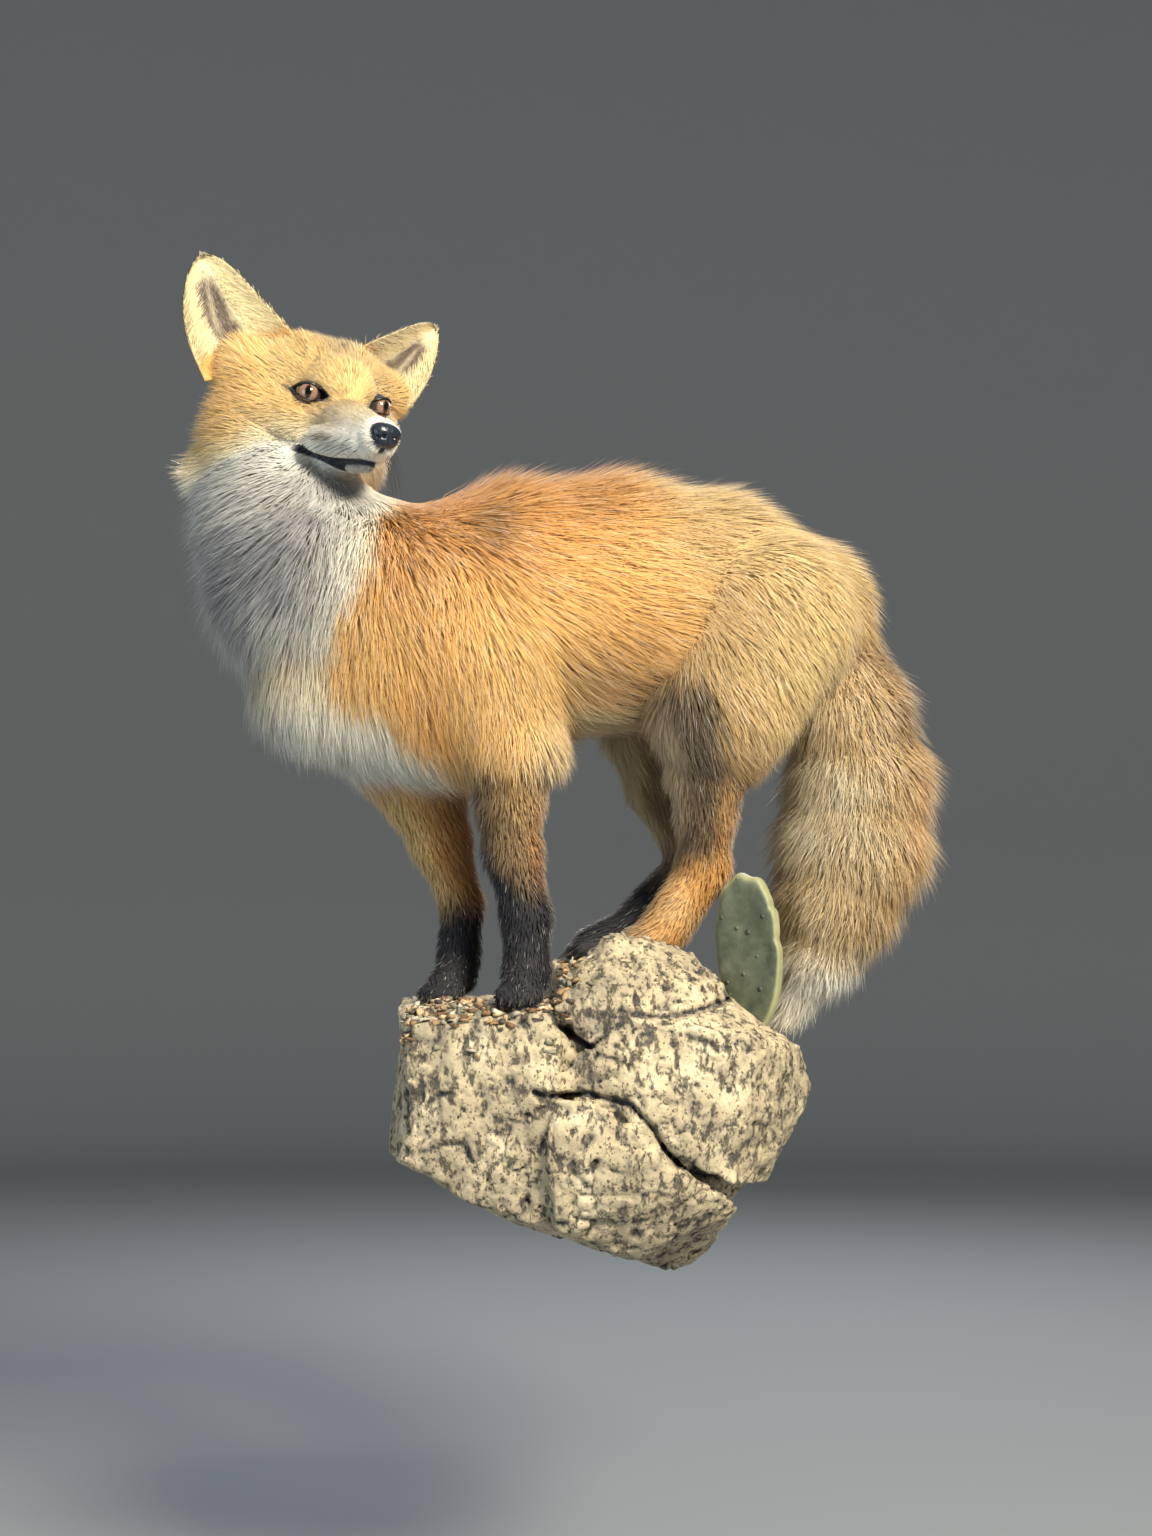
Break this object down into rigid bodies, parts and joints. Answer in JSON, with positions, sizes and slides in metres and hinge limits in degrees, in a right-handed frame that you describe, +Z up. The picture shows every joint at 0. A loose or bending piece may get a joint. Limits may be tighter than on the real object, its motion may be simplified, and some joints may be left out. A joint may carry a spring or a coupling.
{
  "type": "taxidermy fox",
  "caption": "Mounted red fox standing on a small artificial rock with a prickly-pear pad, head turned back over its flank, hung on a wall.",
  "frame": {"origin": "the middle of the rock's flat back, on the wall", "axes": "+Z up, +Y into the wall, +X towards the fox's tail; azimuth 0 looks along +Y at the front"},
  "size_m": [0.5731, 0.2967, 0.7496],
  "materials": {
    "coat_orange": "thick orange winter fur",
    "coat_rump": "thick tan fur",
    "coat_cream": "short cream fur",
    "coat_white": "white fur",
    "coat_dark": "short dark brown fur",
    "coat_tail": "long grizzled fur",
    "nose_skin": "moist black, pebbled",
    "glass_eye": "polished amber brown",
    "rock": "rough tan artificial rock",
    "cactus": "dull grey green"
  },
  "bodies": {
    "root": {"trunk": "coat_orange", "neck": "coat_white", "head": "coat_orange", "lower_jaw": "coat_white", "front_left_shoulder": "coat_orange", "front_right_shoulder": "coat_orange", "hind_left_thigh": "coat_rump", "hind_right_thigh": "coat_rump", "ear_right": "coat_cream", "ear_left": "coat_cream", "tail_base": "coat_tail", "tail_middle": "coat_tail", "tail_tip": "coat_white", "front_left_leg": "coat_dark", "front_left_paw": "coat_dark", "front_right_leg": "coat_dark", "front_right_paw": "coat_dark", "hind_left_leg": "coat_dark", "hind_left_paw": "coat_dark", "hind_right_leg": "coat_dark", "hind_right_paw": "coat_dark", "nose": "nose_skin", "eye_right": "glass_eye", "eye_left": "glass_eye", "rock": "rock", "cactus_pad": "cactus"}
  },
  "joints": []
}
